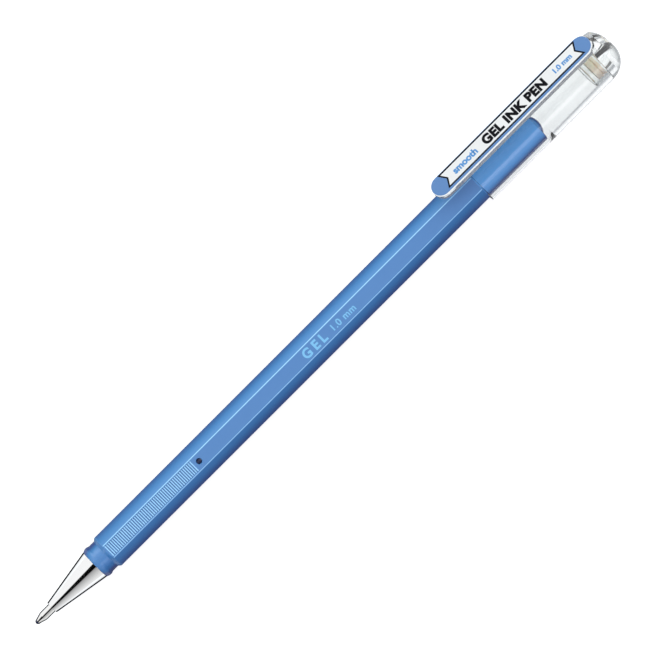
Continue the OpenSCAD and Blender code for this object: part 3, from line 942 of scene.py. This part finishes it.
behind = add_node(tree, "Math", {0: rays.outputs["Is Transmission Ray"], 1: backlight,
                                 2: seen.outputs[0]}, operation="MULTIPLY_ADD")
glow = add_node(tree, "Math", {0: mirrored.outputs[0], 1: 0.7, 2: behind.outputs[0]},
                operation="MULTIPLY_ADD")
shader = tree.nodes["Principled BSDF"]
shader.inputs["Base Color"].default_value = (0.36, 0.36, 0.36, 1)
shader.inputs["Roughness"].default_value = 0.9
shader.inputs["Specular IOR Level"].default_value = 0.0
shader.inputs["Emission Color"].default_value = (1, 1, 1, 1)
tree.links.new(glow.outputs[0], shader.inputs["Emission Strength"])

tent_r = 60
half_turn = math.radians(94)
tent = bmesh.new()
tent_edge = [tent.verts.new((x * MM, tent_r * MM * math.sin(half_turn),
                             tent_r * MM * math.cos(half_turn))) for x in (-70, 17)]
bmesh.ops.spin(tent, geom=tent_edge + [tent.edges.new(tent_edge)], cent=(0, 0, 0),
               axis=(1, 0, 0), angle=2 * half_turn, steps=188)
nose_tent, tree = stage_piece("nose_tent", tent)
tree.nodes.remove(tree.nodes["Principled BSDF"])
place = add_node(tree, "TexCoord").outputs["Object"]
shaded = light_by_angle(tree, place, [
    (-180, grey(0.85)), (-85, grey(0.85)), (-50, grey(0.62)), (-25, grey(0.42)), (-16, grey(0.28)),
    (-14.5, grey(0.0)), (14.5, grey(0.0)), (16, grey(0.98)), (180, grey(0.98))])
even = light_by_angle(tree, place, [
    (-180, grey(0.9)), (-78, grey(0.9)), (-72, grey(0.45)), (-62, grey(0.45)), (-56, grey(0.9)),
    (-31, grey(0.9)), (-30, grey(0.0)), (30, grey(0.0)), (31, grey(0.98)), (180, grey(0.98))])
along = add_node(tree, "SeparateXYZ", {"Vector": place}).outputs["X"]
over_cone = within(tree, along, -26, 0.3, 0.5)
tent_light = add_node(tree, "Mix", {"Factor": over_cone, "A": even, "B": shaded},
                      data_type="RGBA")
cloth = add_node(tree, "Emission", {"Color": tent_light.outputs["Result"], "Strength": 1.0})
tree.links.new(cloth.outputs[0], tree.nodes["Material Output"].inputs["Surface"])
nose_tent.visible_camera = False
nose_tent.visible_diffuse = False
nose_tent.visible_transmission = False
nose_tent.visible_shadow = False

world = bpy.data.worlds.new("studio_light")
bpy.context.scene.world = world
world.use_nodes = True
tree = world.node_tree
tree.nodes.clear()
towards = add_node(tree, "TexCoord").outputs["Generated"]
rays = add_node(tree, "LightPath")
lamps = light_by_angle(tree, towards, [
    (-180, (0.2, 0.21, 0.26)), (-90, (0.09, 0.09, 0.18)), (-15, (0.17, 0.18, 0.28)),
    (2, (1.05, 1.02, 1.0)), (48, (0.84, 1.0, 0.98)), (68, (0.3, 0.35, 0.34)),
    (92, (0.1, 0.12, 0.14)), (180, (0.1, 0.11, 0.14))])
lighting = add_node(tree, "Background", {"Color": lamps, "Strength": 2.12})
glints = light_by_angle(tree, towards, [
    (-180, grey(0.05)), (-92, grey(0.05)), (-60, grey(0.05)), (-42, grey(0.10)), (-34, grey(0.7)),
    (-24, grey(0.7)), (-17, grey(0.04)), (0, grey(0.02)), (16, grey(0.05)), (36, grey(0.3)),
    (48, grey(1.0)), (74, grey(1.0)), (84, grey(0.3)), (95, grey(0.1)), (180, grey(0.05))])
mirrored_light = add_node(tree, "Background", {"Color": glints, "Strength": 3.2})
through = light_by_angle(tree, towards, [
    (-180, grey(0.25)), (-70, grey(0.25)), (-50, grey(0.7)), (-35, grey(0.7)), (-15, grey(0.08)),
    (15, grey(0.08)), (35, grey(0.9)), (50, grey(0.9)), (75, grey(0.2)), (180, grey(0.2))])
refracted_light = add_node(tree, "Background", {"Color": through, "Strength": 1.05})
seen_light = add_node(tree, "Background", {"Color": (0.93, 0.93, 0.93, 1), "Strength": 1.0})
shown = lighting.outputs[0]
for ray, light in (("Is Glossy Ray", mirrored_light), ("Is Transmission Ray", refracted_light),
                   ("Is Camera Ray", seen_light)):
    choice = add_node(tree, "MixShader", {0: rays.outputs[ray], 1: shown, 2: light.outputs[0]})
    shown = choice.outputs[0]
add_node(tree, "OutputWorld", {"Surface": shown})

view_side = 131.4
view_middle = Vector((83.05, 0.36, 0)) * MM
lean = math.radians(-1.5)
camera_data = bpy.data.cameras.new("camera")
camera_data.lens = 300
camera_data.sensor_width = 36
camera = bpy.data.objects.new("camera", camera_data)
bpy.context.scene.collection.objects.link(camera)
distance = view_side * MM * camera_data.lens / camera_data.sensor_width
turn = Matrix.Rotation(lean, 4, "X") @ Matrix.Rotation(math.radians(-45), 4, "Z")
camera.matrix_world = Matrix.Translation(view_middle) @ turn @ Matrix.Translation((0, 0, distance))
bpy.context.scene.camera = camera
